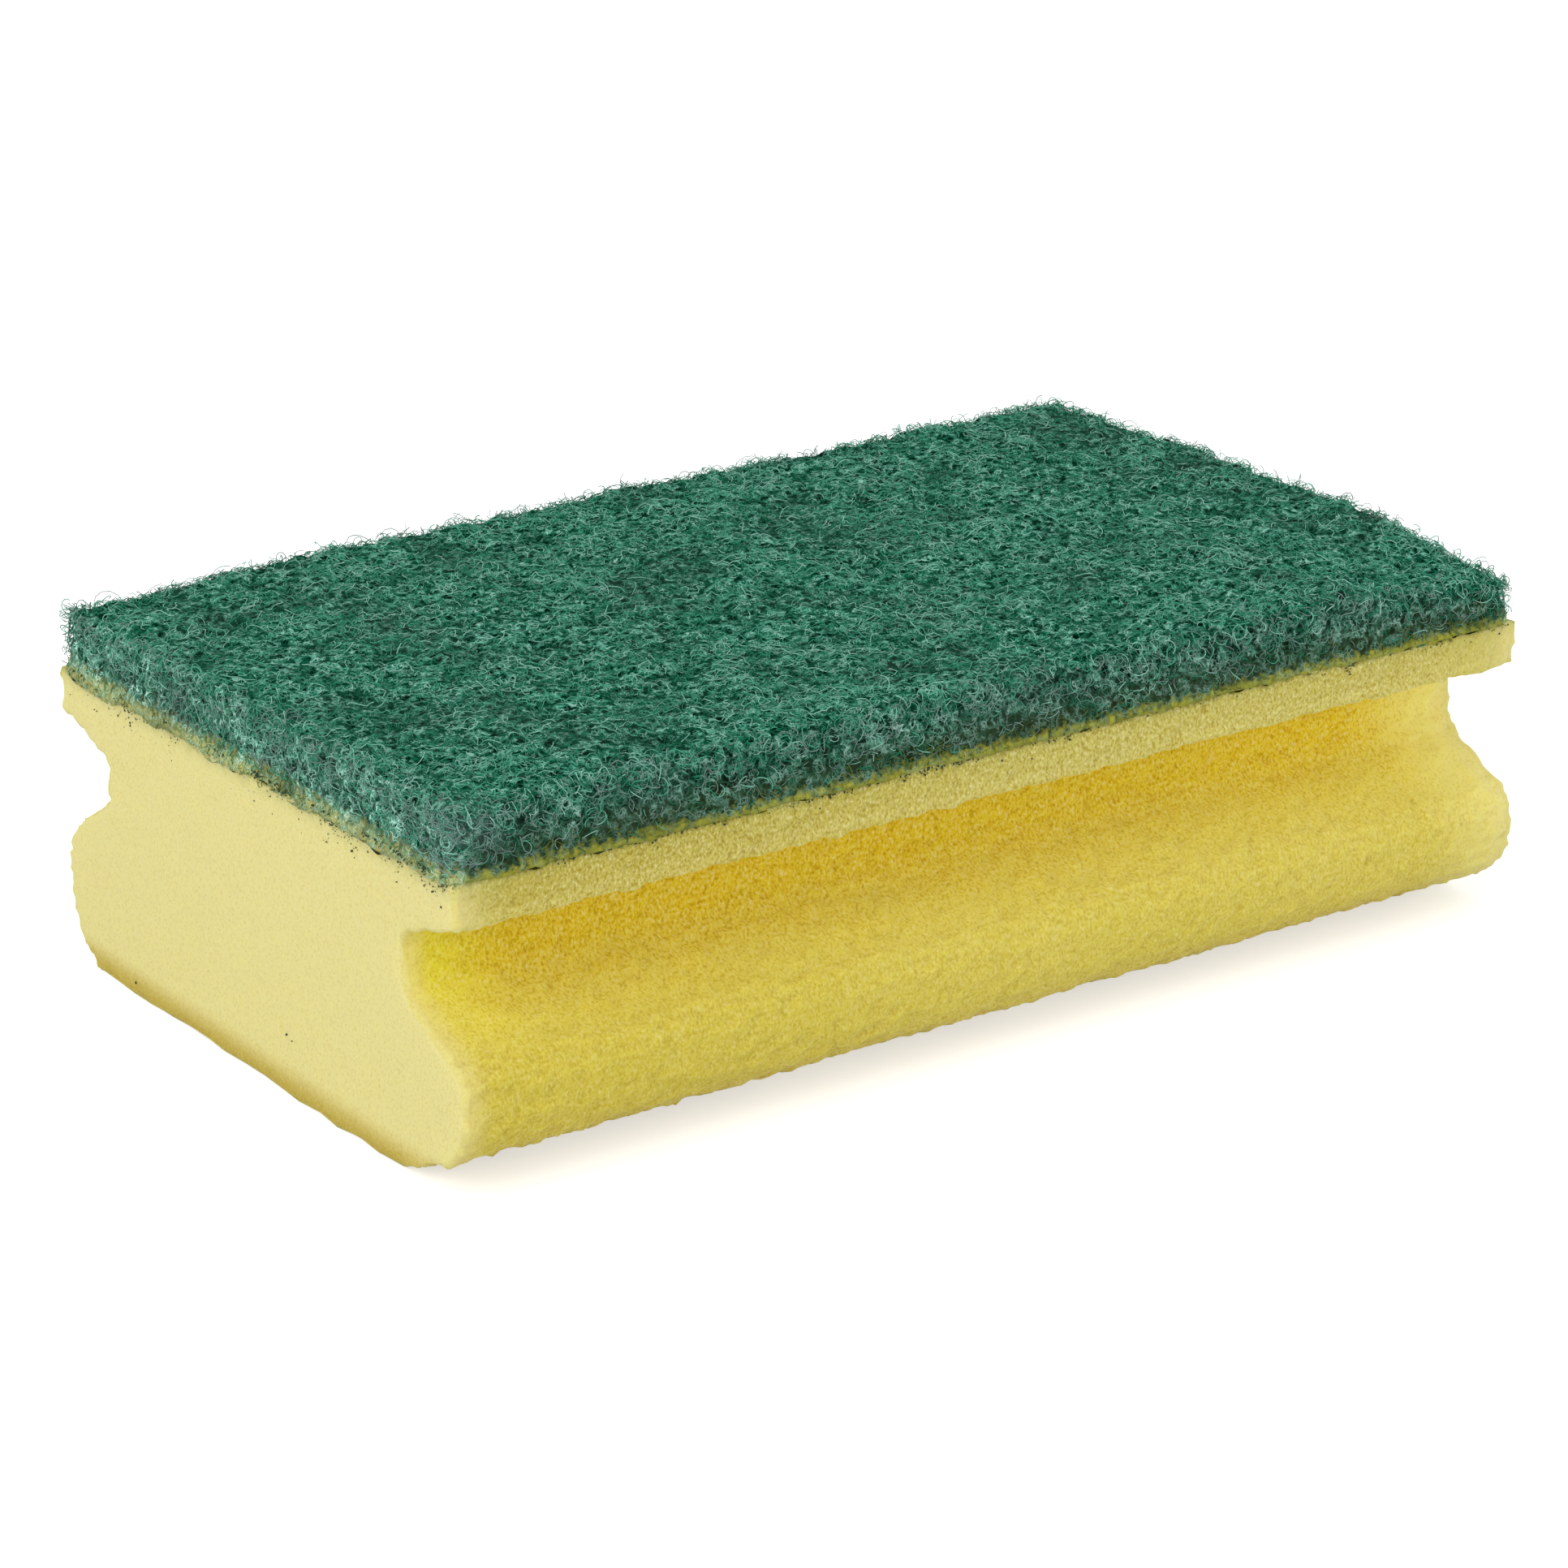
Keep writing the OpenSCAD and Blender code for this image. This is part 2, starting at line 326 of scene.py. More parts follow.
    # The cells, which show most on the rim and in the groove, and fade at the ends.
    field["cells"] = add_node(tree, "ShaderNodeMix",
                              {"Factor": field["at_end"], "A": field["knife_cells"],
                               "B": field["saw_cells"]}).outputs["Result"]
    coarse = add_node(tree, "ShaderNodeMath", {0: field["on_rim"], 1: field["groove"]},
                      operation="MAXIMUM").outputs[0]
    coarse = add_node(tree, "ShaderNodeMath", {0: coarse, 1: field["inner"]},
                      operation="MULTIPLY").outputs[0]
    coarse = add_node(tree, "ShaderNodeMix", {"Factor": coarse, "A": 0.5, "B": 0.85}).outputs["Result"]
    faded = add_node(tree, "ShaderNodeMath", {0: field["at_corner"], 1: field["last_right"]},
                     operation="MAXIMUM").outputs[0]
    field["depth"] = add_node(tree, "ShaderNodeMix",
                              {"Factor": faded, "A": coarse, "B": 0.25}).outputs["Result"]
    add_masks(tree, field, (("cell_hole", "cells", 0.52, 0.30, "depth"),
                            ("cell_wall", "cells", 0.50, 0.72, "depth")), "SMOOTHSTEP")
    colours["foam"] = add_node(tree, "ShaderNodeMix",
                               {"Factor": field["cell_hole"], "A": colours["foam"],
                                "B": linear("#D3C382")},
                               data_type="RGBA", blend_type="MULTIPLY").outputs["Result"]
    lay_washes(tree, field, colours, [("foam", "#F4ECB4", "cell_wall", 0.7)])
    tree.links.new(colours["foam"], shader.inputs["Base Color"])
    relief = add_node(tree, "ShaderNodeBump",
                      {"Height": field["cells"], "Distance": 0.14 * MM, "Strength": 0.7})
    tree.links.new(relief.outputs[0], shader.inputs["Normal"])
    shader.inputs["Roughness"].default_value = 0.9
    shader.inputs["IOR"].default_value = 1.45
    shader.inputs["Specular IOR Level"].default_value = 0.15
    shader.inputs["Subsurface Weight"].default_value = 0.6
    shader.inputs["Subsurface Radius"].default_value = (1.0, 0.85, 0.3)
    shader.inputs["Subsurface Scale"].default_value = 3.0 * MM
    return material


foam_mesh = cut_section(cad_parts["foam_block"])
divide_outline(foam_mesh)
extrude_block(foam_mesh)
grid_ends(foam_mesh)
weather_foam(foam_mesh)
foam_body = finished_piece("foam_body", foam_mesh, foam_material())
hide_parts("foam_block")

# --------------------------------------------------------------- scouring pad
# The pad is a lofty non-woven web: crimped nylon staple, laid flat in thin layers,
# sprayed with a green abrasive resin and bonded to the foam by its underside. This
# is the depth of the web, which the loose fibres of its faces lie over.
web_step = 0.8 * MM         # spacing of its points
web_face_inset = 0.2 * MM   # how far it lies below the CAD's face
web_edge_inset = 0.4 * MM   # and inside its outline
web_edge_radius = 1.5 * MM
web_corner_radius = 3 * MM
front_wear = 1.8            # use has rounded the front edge this many times as far
tuft_lift = 0.42 * MM       # how far a full tuft lifts the face
rim_lift = 0.5 * MM         # how far the cut has roughened the face beside it
rim_reach = 5 * MM          # and how far in that is felt
wander_reach = 4 * MM       # how far in the wander of the outline is felt
clump_size = 1.3 * MM       # small clumps of fibre, all over the web
clump_lift = 0.3 * MM
side_bulge = 0.5 * MM       # how far a tuft pushes the cut edge out
cut_reach = 1.2 * MM        # how far in the cut has worn the fibres pale
foot_spread = 0.9 * MM      # how far the foot of the cut edge stands out of its top
foot_hang = 0.5 * MM        # how far the foot hangs over the foam in places
end_hang = 1.6 * MM         # and how much farther it hangs on the ends

pad_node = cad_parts["scouring_pad"]
pad_shape = bmesh.new()
pad_shape.from_mesh(pad_node.data)
pad_tree = BVHTree.FromBMesh(pad_shape)
pad_shape.free()


def face_heights(x, y):
    """The height of the CAD pad's face over each point, taken a little inside its edge."""
    inside_x = np.clip(x, pad_low.x + 2 * MM, pad_high.x - 2 * MM)
    inside_y = np.clip(y, pad_low.y + 2 * MM, pad_high.y - 2 * MM)
    above = pad_high.z + MM
    down = Vector((0, 0, -1))
    heights = [pad_tree.ray_cast(Vector((a, b, above)), down)[0].z
               for a, b in zip(inside_x.ravel(), inside_y.ravel())]
    return np.array(heights).reshape(x.shape)


def crushed(x, y):
    """How far the round of the pad's edges drops the face at each point."""
    drop = np.zeros(x.shape)
    for inward, bend in ((half_length - np.abs(x), web_edge_radius), (half_rim - y, web_edge_radius),
                         (half_rim + y, front_wear * web_edge_radius)):
        short = np.clip(bend - inward, 0, bend)
        drop = np.maximum(drop, bend - np.sqrt(bend ** 2 - short ** 2))
    return drop


def patches(x, y, size, layer=0.0):
    """Soft noise between about -1 and 1, in patches of about this size, over the plan."""
    layer = np.broadcast_to(layer, x.shape)
    found = [noise.noise(Vector((a / size, b / size, c)))
             for a, b, c in zip(x.ravel(), y.ravel(), layer.ravel())]
    return np.array(found).reshape(x.shape)


def tufts(x, y, depth=0.0):
    """Where the web is thick (up to about 1) and where it thins out to a pit (-1), at
    this depth below its face."""
    layer = np.asarray(depth) / (2.5 * MM)
    return patches(x, y, 6 * MM, layer) + 0.8 * patches(x, y, 2.7 * MM, layer + 4)


def loft(x, y):
    """How far the web's own tufts lift its face over the CAD's, or let it sink. The cut
    has left its rim the most uneven."""
    inward = np.minimum(half_length - np.abs(x), half_rim - np.abs(y))
    ragged = np.clip(1 - inward / rim_reach, 0, 1)
    return tuft_lift * tufts(x, y) + rim_lift * ragged * patches(x, y, 1.5 * MM, 11.0)


def worn_top(x, y):
    """The height of the worn face over each point, with its tufts and rounded edges."""
    return face_heights(x, y) + loft(x, y) - crushed(x, y)


def wander(x, y):
    """How far the cut edge lies in from the CAD's outline at each point."""
    return (0.30 + 0.45 * patches(x, y, 9 * MM, 8.0) + 0.3 * patches(x, y, 3 * MM, 2.0)) * MM


def web_face(reach):
    """A fine grid laid under the pad's face, with round corners and a wandering outline."""
    web = bmesh.new()
    bmesh.ops.create_grid(web, x_segments=round(2 * reach.x / web_step),
                          y_segments=round(2 * reach.y / web_step), size=1.0)
    bmesh.ops.scale(web, verts=web.verts, vec=reach)
    plan = np.array([vert.co[:2] for vert in web.verts])
    x, y = plan[:, 0], plan[:, 1]
    heights = worn_top(x, y) - web_face_inset
    for vert, height, inward in zip(web.verts, heights, wander(x, y)):
        into = [abs(vert.co[axis]) - reach[axis] + web_corner_radius for axis in (0, 1)]
        round_off = max(into) / math.hypot(*into) if min(into) > 0 else 1
        for axis in (0, 1):
            nearness = max(0, 1 + (into[axis] - web_corner_radius) / wander_reach)
            short = inward * nearness + max(into[axis], 0) * (1 - round_off)
            vert.co[axis] -= math.copysign(short, vert.co[axis])
        vert.co.z = height
    return web


def draw_down(web):
    """Draws the grid's border down and a little out to the bond, and closes it there."""
    border = [edge for edge in web.edges if edge.is_boundary]
    rows = round((pad_high.z - pad_low.z) / web_step)
    for row in range(rows, 0, -1):
        drawn = bmesh.ops.extrude_edge_only(web, edges=border)["geom"]
        border = [item for item in drawn if isinstance(item, bmesh.types.BMEdge)]
        spread = foot_spread * (2 * (rows - row) + 1) / rows ** 2
        for vert in (item for item in drawn if isinstance(item, bmesh.types.BMVert)):
            vert.co.x *= 1 + spread / half_length
            vert.co.y *= 1 + spread / half_rim
            vert.co.z = pad_low.z + (vert.co.z - pad_low.z) * (row - 1) / row
    bmesh.ops.holes_fill(web, edges=border, sides=0)
    bmesh.ops.recalc_face_normals(web, faces=web.faces)


def roughen(web, face, reach):
    """Pushes the web's points out by its tufts and clumps, and lets its foot hang. It
    marks them with how thick the web is there, and how near to the cut they are."""
    web.normal_update()
    place = np.array([vert.co for vert in web.verts])
    normal = np.array([vert.normal for vert in web.verts])
    under = np.array([0 if vert in face else pad_high.z - MM - vert.co.z for vert in web.verts])
    thick = tufts(place[:, 0], place[:, 1], under)
    out = clump_lift * patches(place[:, 0], place[:, 1], clump_size, under / clump_size)
    out += np.where(under > 0, side_bulge * thick, 0)
    place += normal * out[:, None]
    outward = np.maximum(np.abs(place[:, 0]) - reach.x, np.abs(place[:, 1]) - reach.y)
    near_cut = np.clip(1 + outward / cut_reach, 0, 1)
    thickness = web.verts.layers.float.new("thickness")
    cut = web.verts.layers.float.new("cut")
    lowest = pad_low.z + 0.1 * MM
    for vert, moved, how_thick, how_near in zip(web.verts, place, thick, near_cut):
        vert[thickness] = how_thick
        vert[cut] = how_near
        if vert.co.z > lowest:
            vert.co = moved
            vert.co.z = max(vert.co.z, lowest)
        else:
            hang = foot_hang * max(0, 0.1 + noise.noise(vert.co / (1.6 * MM)))
            if abs(vert.co.x) > half_length - MM:
                hang += end_hang * max(0, noise.noise(vert.co / (5 * MM)))
            vert.co.z -= hang


def web_mesh():
    """The depth of the web, as one closed mesh."""
    reach = pad_high - Vector((web_edge_inset, web_edge_inset, 0))
    web = web_face(reach)
    face = set(web.verts)
    draw_down(web)
    roughen(web, face, reach)
    return web


# Resin-sprayed nylon web, seen deep between its loose fibres: nearly black green in the
# gaps, which is painted shade for the depth of the web, with the bent lines of the next
# layers of fibre over them. A line runs between two cells of a pattern that a finer
# noise has bent, as the crimp bends a fibre.
def web_material():
    material = bpy.data.materials.new("nylon_web_resin_sprayed")
    material.use_nodes = True
    tree = material.node_tree
    shader = tree.nodes["Principled BSDF"]
    place = add_node(tree, "ShaderNodeTexCoord").outputs["Object"]
    xyz = add_node(tree, "ShaderNodeSeparateXYZ", {0: place}).outputs
    field = {}
    for name in ("thickness", "cut"):
        field[name] = add_node(tree, "ShaderNodeAttribute", attribute_name=name).outputs["Fac"]
    for name, size, detail, shift in (("sway", 0.8, 2, 70), ("tract_patches", 17, 2, 60),
                                      ("gap_patches", 0.9, 1, 40), ("clump_patches", 1.2, 1, 80)):
        laid = add_node(tree, "ShaderNodeMapping",
                        {"Vector": place, "Location": (shift, -shift, shift)}).outputs[0]
        field[name] = add_node(tree, "ShaderNodeTexNoise",
                               {"Vector": laid, "Scale": 1 / (size * MM),
                                "Detail": detail}).outputs["Fac"]
    field["out_x"] = add_node(tree, "ShaderNodeMath", {0: xyz["X"]}, operation="ABSOLUTE").outputs[0]
    sway = add_node(tree, "ShaderNodeMapRange",
                    {"Value": field["sway"], "To Min": -1.6 * MM, "To Max": 1.6 * MM}).outputs["Result"]
    field["level"] = add_node(tree, "ShaderNodeMath", {0: xyz["Z"], 1: sway},
                              operation="ADD").outputs[0]
    worn_corner = (-half_length, -half_rim, pad_high.z)
    field["from_corner"] = add_node(tree, "ShaderNodeVectorMath", {0: place, 1: worn_corner},
                                    operation="DISTANCE").outputs["Value"]

    # Near the bond the web thins out, and the foam's yellow shows through it.
    bond = pad_low.z
    add_masks(tree, field, (
        ("at_end", "out_x", half_length - 2.2 * MM, half_length - 1.2 * MM),
        ("on_long", "at_end", 1, 0),
        ("thin_long", "level", bond + 1.2 * MM, bond, "on_long"),
        ("thin_ends", "level", bond + 2.3 * MM, bond + 0.3 * MM, 0.9, "at_end"),
        ("gap", "gap_patches", 0.40, 0.62),
        ("clump", "clump_patches", 0.38, 0.54),
        ("pit", "thickness", 0.10, -0.70),
        ("tract", "tract_patches", 0.46, 0.66),
        ("low", "level", bond + 5 * MM, bond + 2 * MM, "on_long"),
        ("corner", "from_corner", 9 * MM, 3 * MM)), "LINEAR")
    field["thin"] = add_node(tree, "ShaderNodeMath", {0: field["thin_long"], 1: field["thin_ends"]},
                             operation="ADD").outputs[0]
    colours = {"web": linear("#02150E"), "below": linear("#C8C53C")}
    lay_washes(tree, field, colours, (("below", "#BCB962", "at_end", 1),
                                      ("web", "#0A3B2A", "gap", 1),
                                      ("web", "below", "thin", 1)))

    # Layers of fibre, from the deepest up: the size of the cells that the fibres run
    # round and how wide they are, in millimetres, and their tone. The real ones are
    # 0.1 mm thick, and the deepest are drawn wider, so that they show. The deeper layers
    # are painted darker: painted shade down in the web.
    layers = ((1.4, 0.20, "#0E5039"), (1.3, 0.17, "#176248"), (1.3, 0.15, "#247659"),
              (1.3, 0.13, "#338868"), (1.3, 0.12, "#479A7D"), (1.3, 0.11, "#63B197"),
              (1.4, 0.10, "#7FC0AA"), (1.6, 0.10, "#9DD4C1"))
    for number, (size, width, tone) in enumerate(layers):
        shift = 3.7 * number + 1
        laid = add_node(tree, "ShaderNodeMapping",
                        {"Vector": place, "Location": (shift, 0, 0)}).outputs[0]
        bend = add_node(tree, "ShaderNodeTexNoise",
                        {"Vector": laid, "Scale": 1 / (1.3 * MM), "Detail": 1}).outputs["Color"]
        bent = add_node(tree, "ShaderNodeVectorMath",
                        {0: bend, 1: (2.4 * MM, 2.4 * MM, 2.4 * MM), 2: place},
                        operation="MULTIPLY_ADD").outputs[0]
        bent = add_node(tree, "ShaderNodeMapping",
                        {"Vector": bent, "Location": (-shift, shift, 0)}).outputs[0]
        field["off_line"] = add_node(tree, "ShaderNodeTexVoronoi",
                                     {"Vector": bent, "Scale": 1 / (size * MM)},
                                     feature="DISTANCE_TO_EDGE").outputs["Distance"]
        laid = add_node(tree, "ShaderNodeMapping",
                        {"Vector": place, "Location": (shift + 5, -shift - 5, shift + 5)}).outputs[0]
        field["breaks"] = add_node(tree, "ShaderNodeTexNoise",
                                   {"Vector": laid, "Scale": 1 / (1.6 * MM),
                                    "Detail": 0.5}).outputs["Fac"]
        only_in = ["unbroken", "clump"] if number > 1 else ["unbroken"]
        add_masks(tree, field, (
            ("unbroken", "breaks", 0.38, 0.50),
            ("stroke", "off_line", 0.65 * width / size, 0.35 * width / size, *only_in)), "LINEAR")
        lay_washes(tree, field, colours, [("web", tone, "stroke", 1)])

    # The pits are painted darker, as painted shade where the web is thin, and some tracts
    # are darker. The web is greyer at the cut, and painted light makes it brighter on the
    # ends and darker on the long sides.
    lay_washes(tree, field, colours, (("web", "#082C1F", "pit", 0.42),
                                      ("web", "#2C4338", "tract", 0.42)))
    shade = add_node(tree, "ShaderNodeMix",
                     {"Factor": field["at_end"], "A": 0.9, "B": 1.55}).outputs["Result"]
    colours["web"] = add_node(tree, "ShaderNodeHueSaturation",
                              {"Color": colours["web"], "Fac": field["cut"], "Saturation": 0.8,
                               "Value": shade}).outputs[0]
    # Painted shade: the long sides are painted darker low down, towards the bond.
    lay_washes(tree, field, colours, (("web", "#343E1C", "low", 0.5),
                                      ("web", "below", "thin", 0.45),
                                      ("web", "#7FA79C", "corner", 0.2)))
    tree.links.new(colours["web"], shader.inputs["Base Color"])
    shader.inputs["Roughness"].default_value = 0.8
    shader.inputs["Specular IOR Level"].default_value = 0.0
    return material


pad_web = finished_piece("pad_web", web_mesh(), web_material())
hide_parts("scouring_pad")

# --------------------------------------------------------------- loose fibres
# The web's faces are crimped nylon fibres about 0.1 mm thick with their resin coat.
# They lie over each other in every direction, and along the cut edges they end in
# loops. Each lot holds the fibres of one tone, from deep in the web to its face: the
# darker lots keep deep and to the hollows and the paler to the tufts and the face,
# which is painted shade and painted light over the fibres' own greens.
rng = np.random.default_rng(20)
fibre_radius = 0.05 * MM
fibre_points = 9
segment = 0.55 * MM         # from one point of a fibre to the next


def crimped_walks(count, lean=math.pi):
    """Plan paths of crimped fibres: they wave as they go, by the crimp in radians, and
    bend, in radians a metre. lean is how far their heading may turn from the first axis."""
    along = np.arange(fibre_points) * segment
    heading = rng.uniform(-lean, lean, (count, 1))
    bend = rng.normal(0, 160, (count, 1))
    crimp = rng.uniform(0.5, 1.3, (count, 1))
    wave = rng.uniform(1.8, 3.6, (count, 1)) * MM
    start = rng.uniform(0, 2 * math.pi, (count, 1))
    turn = heading + bend * along + crimp * np.sin(2 * math.pi * along / wave + start)
    steps = segment * np.stack([np.cos(turn), np.sin(turn)], axis=2)
    path = np.cumsum(steps, axis=1)
    return path - path.mean(axis=1, keepdims=True)


def rise(count, height):
    """How a fibre weaves up and down along its way."""
    along = np.arange(fibre_points) * segment
    wave = rng.uniform(1.6, 4.0, (count, 1)) * MM
    start = rng.uniform(0, 2 * math.pi, (count, 1))
    return height * rng.uniform(0.3, 1.0, (count, 1)) * np.sin(2 * math.pi * along / wave + start)


def kept_inside(x, y, over):
    """Draws points in to the pad's wandering outline and its round corners. over is how
    far each may stand out of it."""
    inset = wander(x, y)
    corner = np.array([half_length, half_rim]) - web_corner_radius
    out_x, out_y = np.abs(x) - corner[0], np.abs(y) - corner[1]
    beyond = np.hypot(np.maximum(out_x, 0), np.maximum(out_y, 0))
    allowed = web_corner_radius - inset + over
    pull = np.where((out_x > 0) & (out_y > 0), np.minimum(1, allowed / np.maximum(beyond, MM)), 1)
    reach_x = np.where(out_x > 0, corner[0] + np.minimum(out_x, allowed) * pull, np.abs(x))
    reach_y = np.where(out_y > 0, corner[1] + np.minimum(out_y, allowed) * pull, np.abs(y))
    return np.copysign(reach_x, x), np.copysign(reach_y, y)


def tufted_roots(count, taste):
    """Random roots over the face, thicker on the web's tufts, or for a taste below 0 in
    its hollows."""
    x = rng.uniform(-half_length, half_length, 4 * count)
    y = rng.uniform(-half_rim, half_rim, 4 * count)
    chance = np.exp(taste * (1.2 * tufts(x, y) + 1.8 * patches(x, y, 14 * MM, 3.0)))
    chosen = rng.choice(4 * count, count, replace=False, p=chance / chance.sum())
    return x[chosen], y[chosen]


def face_fibres(count, deepest, highest, taste=0.0, weave=0.55 * MM):
    """Fibres that lie in the pad's top face, between these heights over the CAD face.
    weave is how far the most bent of them go up and down."""
    root_x, root_y = tufted_roots(count, taste)
    path = crimped_walks(count)
    over = rng.uniform(0.0, 0.6, (count, 1)) * MM
    x, y = kept_inside(root_x[:, None] + path[:, :, 0], root_y[:, None] + path[:, :, 1], over)
    level = rng.uniform(deepest, highest, (count, 1))
    return np.stack([x, y, worn_top(x, y) + level + rise(count, weave)], axis=2)


def outline_roots(on_long, on_ends):
    """Random places round the outline: so many on the long sides, so many on the ends."""
    length, width = 2 * half_length, 2 * half_rim
    on_long = rng.uniform(0, 2 * length, on_long)
    on_ends = rng.uniform(0, 2 * width, on_ends)
    return np.concatenate([np.where(on_long < length, on_long, on_long + width),
                           np.where(on_ends < width, on_ends + length, on_ends + 2 * length)])


def around_pad(along, outward):
    """Plan points from a distance round the pad's outline, and a distance out from it."""
    length, width = 2 * half_length, 2 * half_rim
    along = along % (2 * (length + width))
    sides = [along < length, along < length + width, along < 2 * length + width]
    x = np.select(sides, [along - half_length, half_length + outward,
                          half_length - (along - length - width)], -half_length - outward)
    y = np.select(sides, [-half_rim - outward, along - length - half_rim,
                          half_rim + outward], half_rim - (along - 2 * length - width))
    return kept_inside(x, y, np.maximum(outward, 0) + 0.2 * MM)


def edge_fibres(on_long, on_ends, lowest=0.02, highest=1.0, out=0.1 * MM):
    """Fibres in the four cut edges, mostly along their layers. lowest and highest are
    shares of the pad's height, and out is how far they may stand out."""
    count = on_long + on_ends
    root = outline_roots(on_long, on_ends)[:, None]
    up = rng.uniform(lowest, highest, (count, 1))
    path = crimped_walks(count, lean=1.1)
    outward = rng.uniform(-1.0 * MM, out, (count, 1)) + rise(count, 0.4 * MM)
    x, y = around_pad(root + path[:, :, 0], outward)
    top = face_heights(x, y) + loft(x, y)
    z = pad_low.z + up * (top - pad_low.z) + path[:, :, 1]
    shoulder = np.clip((z - pad_low.z) / (top - pad_low.z), 0, 1) ** 4 * web_edge_radius
    x, y = x - np.sign(x) * shoulder * 0.5, y - np.sign(y) * shoulder * 0.5
    z = np.minimum(z, top)
    z = np.where(z < pad_low.z, pad_low.z - 0.3 * (pad_low.z - z), z)
    return np.stack([x, y, z], axis=2)


def curled(centre, first, second, count, size=1.0, turns=(3.2, 5.8), points=fibre_points):
    """Loops round these centres, in the planes of the two directions given. size is the
    largest radius in millimetres, and turns is how far round they go, in radians."""
    radius = size * rng.uniform(0.45, 1.0, (count, 1, 1)) * MM
    reach = rng.uniform(*turns, (count, 1))
    start = rng.uniform(0, 2 * math.pi, (count, 1))
    angle = (start + reach * np.linspace(0, 1, points))[:, :, None]
    drift = np.linspace(-0.5, 0.5, points)[None, :, None] * MM
    drift = drift * rng.uniform(-1.5, 1.5, (count, 1, 1)) * np.cross(first, second)[:, None]
    turn = np.cos(angle) * first[:, None] + np.sin(angle) * second[:, None]
    return centre[:, None] + radius * turn + drift


def directions(count, steep, least=0.1):
    """Pairs of directions at right angles. The first is level, and the second rises by
    between least and steep, in radians."""
    turn = rng.uniform(0, 2 * math.pi, count)
    tilt = rng.uniform(least, steep, count)
    first = np.stack([np.cos(turn), np.sin(turn), np.zeros(count)], axis=1)
    second = np.stack([-np.sin(turn) * np.cos(tilt), np.cos(turn) * np.cos(tilt), np.sin(tilt)], axis=1)
    return first, second


def face_loops(count, taste=0.0):
    """Loops that stand out of the top face."""
    x, y = kept_inside(*tufted_roots(count, taste), 0.0)
    z = worn_top(x, y) + rng.uniform(-0.9, -0.2, count) * MM
    return curled(np.stack([x, y, z], axis=1), *directions(count, 1.2), count)


def face_arcs(count, taste=0.0):
    """Wide arcs that rise out of the top face and dip back into it."""
    x, y = kept_inside(*tufted_roots(count, taste), 0.0)
    z = worn_top(x, y) + rng.uniform(-1.0, -0.1, count) * MM
    return curled(np.stack([x, y, z], axis=1), *directions(count, 1.1, 0.2), count,
                  size=1.5, turns=(1.4, 3.4))


def edge_loops(on_long, on_ends, lowest):
    """Loops that stand out of the cut edges, from this share of their height up."""
    count = on_long + on_ends
    x, y = around_pad(outline_roots(on_long, on_ends), rng.uniform(-1.0, 0.0, count) * MM)
    up = rng.uniform(lowest, 1.0, count)
    z = pad_low.z + up * (face_heights(x, y) + loft(x, y) - pad_low.z - 0.4 * MM)
    made = curled(np.stack([x, y, z], axis=1), *directions(count, 1.5), count)
    made[:, :, 2] = np.maximum(made[:, :, 2], pad_low.z - 0.2 * MM)
    return made


def frayed_loops(on_long, on_ends, size=0.9):
    """Loops that stand out of the top edge all round, where the cut has frayed it. size
    is the largest radius in millimetres."""
    count = on_long + on_ends
    x, y = around_pad(outline_roots(on_long, on_ends), rng.uniform(-2.6, -0.2, count) * MM)
    z = worn_top(x, y) + rng.uniform(-0.6, 0.3, count) * MM
    return curled(np.stack([x, y, z], axis=1), *directions(count, 1.5, 0.6), count, size)


def bond_ends(on_long, on_ends):
    """Short bent ends that hang out over the bond line, some more and some less."""
    count = on_long + on_ends
    x, y = around_pad(outline_roots(on_long, on_ends), rng.uniform(-0.3, 0.2, count) * MM)
    hang = 0.8 + 0.8 * patches(x, y, 2.5 * MM, 5.0)
    z = pad_low.z + np.clip(hang + rng.normal(0, 0.5, count), -0.6, 2.4) * MM
    return curled(np.stack([x, y, z], axis=1), *directions(count, 1.5), count, size=0.5,
                  turns=(0.8, 2.4), points=5)


def near_corner(count):
    """Fibres round the front left corner, which use has worn the most."""
    spread = rng.uniform(0, 6, (2, count)) ** 2 / 6 * MM
    x, y = kept_inside(spread[0] - half_length, spread[1] - half_rim, 0.0)
    up = rng.uniform(0.2, 1.0, count)
    made = np.stack([x, y, pad_low.z + up * (worn_top(x, y) - pad_low.z)], axis=1)
    return curled(made, *directions(count, 1.2), count, size=1.3, turns=(1.5, 3.5))


def fibre_section():
    """The three-sided section that every fibre is drawn with."""
    outline = bpy.data.curves.new("fibre_section", "CURVE")
    outline.dimensions = "2D"
    spline = outline.splines.new("POLY")
    spline.points.add(2)
    for i, point in enumerate(spline.points):
        angle = -2 * math.pi * i / 3
        point.co = (fibre_radius * math.cos(angle), fibre_radius * math.sin(angle), 0, 1)
    spline.use_cyclic_u = True
    drawn = bpy.data.objects.new("fibre_section", outline)
    bpy.context.scene.collection.objects.link(drawn)
    return drawn


def fibre_mesh(name, kinds, section):
    """All the fibres of a lot, as one mesh of closed tubes."""
    curve = bpy.data.curves.new(name, "CURVE")
    curve.dimensions = "3D"
    curve.bevel_mode = "OBJECT"
    curve.bevel_object = section
    curve.use_fill_caps = True
    for path in (path for paths in kinds for path in paths):
        spline = curve.splines.new("POLY")
        spline.points.add(len(path) - 1)
        spline.points.foreach_set("co", np.column_stack([path, np.ones(len(path))]).ravel())
        spline.points.foreach_set("radius", np.full(len(path), rng.uniform(0.75, 1.25)))
    drawn = bpy.data.objects.new(name, curve)
    bpy.context.scene.collection.objects.link(drawn)
    bpy.context.view_layer.update()
    ready = drawn.evaluated_get(bpy.context.evaluated_depsgraph_get())
    data = bpy.data.meshes.new_from_object(ready)
    bpy.data.objects.remove(drawn)
    bpy.data.curves.remove(curve)
    return data
